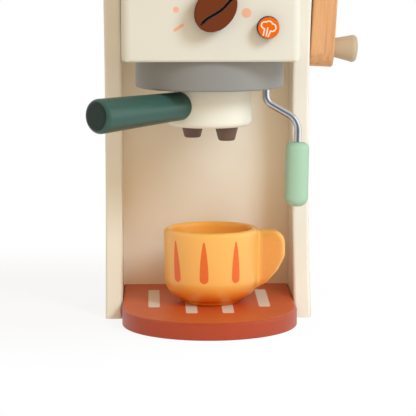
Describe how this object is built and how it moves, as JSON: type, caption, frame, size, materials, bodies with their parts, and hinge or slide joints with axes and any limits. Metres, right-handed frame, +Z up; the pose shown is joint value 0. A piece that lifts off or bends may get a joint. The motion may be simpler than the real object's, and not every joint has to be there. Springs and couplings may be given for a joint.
{
  "type": "toy coffee maker",
  "caption": "Wooden play espresso machine with an open bay, overhanging housing, turning portafilter, steam wand, bean knob, push button, side crank and loose cup.",
  "frame": {"origin": "middle of the footprint on the surface that the toy stands on, midway between the side panels", "axes": "+X from left to right seen from the front, +Y from the front to the back, +Z up"},
  "size_m": [0.1905, 0.1861, 0.262],
  "materials": {
    "cream_paint": "satin paint on wood",
    "terracotta_paint": "satin paint on wood",
    "grey_paint": "satin paint on wood",
    "green_paint": "satin paint on wood",
    "bean_paint": "satin stain on wood",
    "spout_paint": "satin stain on wood",
    "mint_paint": "satin paint on wood",
    "orange_paint": "satin paint on wood",
    "cup_paint": "satin stain on wood",
    "beech": "clear oiled wood",
    "latte_paint": "satin paint on wood",
    "pale_wood": "bare wood",
    "steel_wire": "bright polished",
    "zinc_steel": "zinc plated",
    "nylon": "moulded, natural"
  },
  "bodies": {
    "frame": {"left_side_panel": "cream_paint", "right_side_panel": "cream_paint", "back_panel": "cream_paint", "base_board": "terracotta_paint", "housing_front": "cream_paint", "housing_floor": "cream_paint", "housing_left_cheek": "cream_paint", "housing_right_cheek": "cream_paint", "housing_top": "cream_paint", "frame_dowels": "pale_wood", "group_head": "grey_paint", "group_head_screws": "zinc_steel", "pivot_bolt": "zinc_steel", "pivot_washer": "nylon", "pivot_nut": "zinc_steel", "spring_block": "pale_wood", "button_spring": "zinc_steel", "crank_bush": "nylon"},
    "portafilter": {"portafilter_body": "cream_paint", "portafilter_handle": "green_paint", "handle_dowel": "pale_wood", "left_spout": "spout_paint", "right_spout": "spout_paint"},
    "steam_wand": {"wand_wire": "steel_wire", "wand_grip": "mint_paint", "wand_retainer": "zinc_steel"},
    "bean": {"bean_knob": "bean_paint", "bean_shaft": "pale_wood", "bean_retainer": "pale_wood"},
    "button": {"steam_button": "orange_paint", "button_flange": "nylon"},
    "crank": {"crank_arm": "beech", "crank_axle": "pale_wood", "crank_spacer": "nylon", "crank_collar": "pale_wood", "knob_screw": "zinc_steel"},
    "crank_grip": {"crank_knob": "latte_paint"},
    "cup": {"cup_body": "cup_paint", "cup_handle": "cup_paint"}
  },
  "joints": [
    {"name": "portafilter_turn", "type": "hinge", "parent": "frame", "child": "portafilter", "pos_m": [0, -0.0235, 0.152], "axis": [0, 0, 1], "range_deg": [-15, 45]},
    {"name": "wand_swivel", "type": "hinge", "parent": "frame", "child": "steam_wand", "pos_m": [0.0386, -0.0235, 0.175], "axis": [0, 0, 1], "range_deg": [-80, 30]},
    {"name": "bean_turn", "type": "hinge", "parent": "frame", "child": "bean", "pos_m": [0.0025, -0.078, 0.2199], "axis": [0, 1, 0], "continuous": true},
    {"name": "button_push", "type": "slide", "parent": "frame", "child": "button", "axis": [0, 1, 0], "range_m": [0, 0.004], "stiffness_N_per_m": 250, "springref_m": -0.002, "deforming": ["button_spring"]},
    {"name": "crank_turn", "type": "hinge", "parent": "frame", "child": "crank", "pos_m": [0.0725, 0.05, 0.238], "axis": [0.9984, 0, -0.0558], "continuous": true},
    {"name": "crank_grip_spin", "type": "hinge", "parent": "crank", "child": "crank_grip", "pos_m": [0.09085, 0.05, 0.1871], "axis": [0.9984, 0, -0.0558], "continuous": true},
    {"name": "cup_out", "type": "slide", "parent": "frame", "child": "cup", "axis": [0, -1, 0], "range_m": [0, 0.12]}
  ]
}
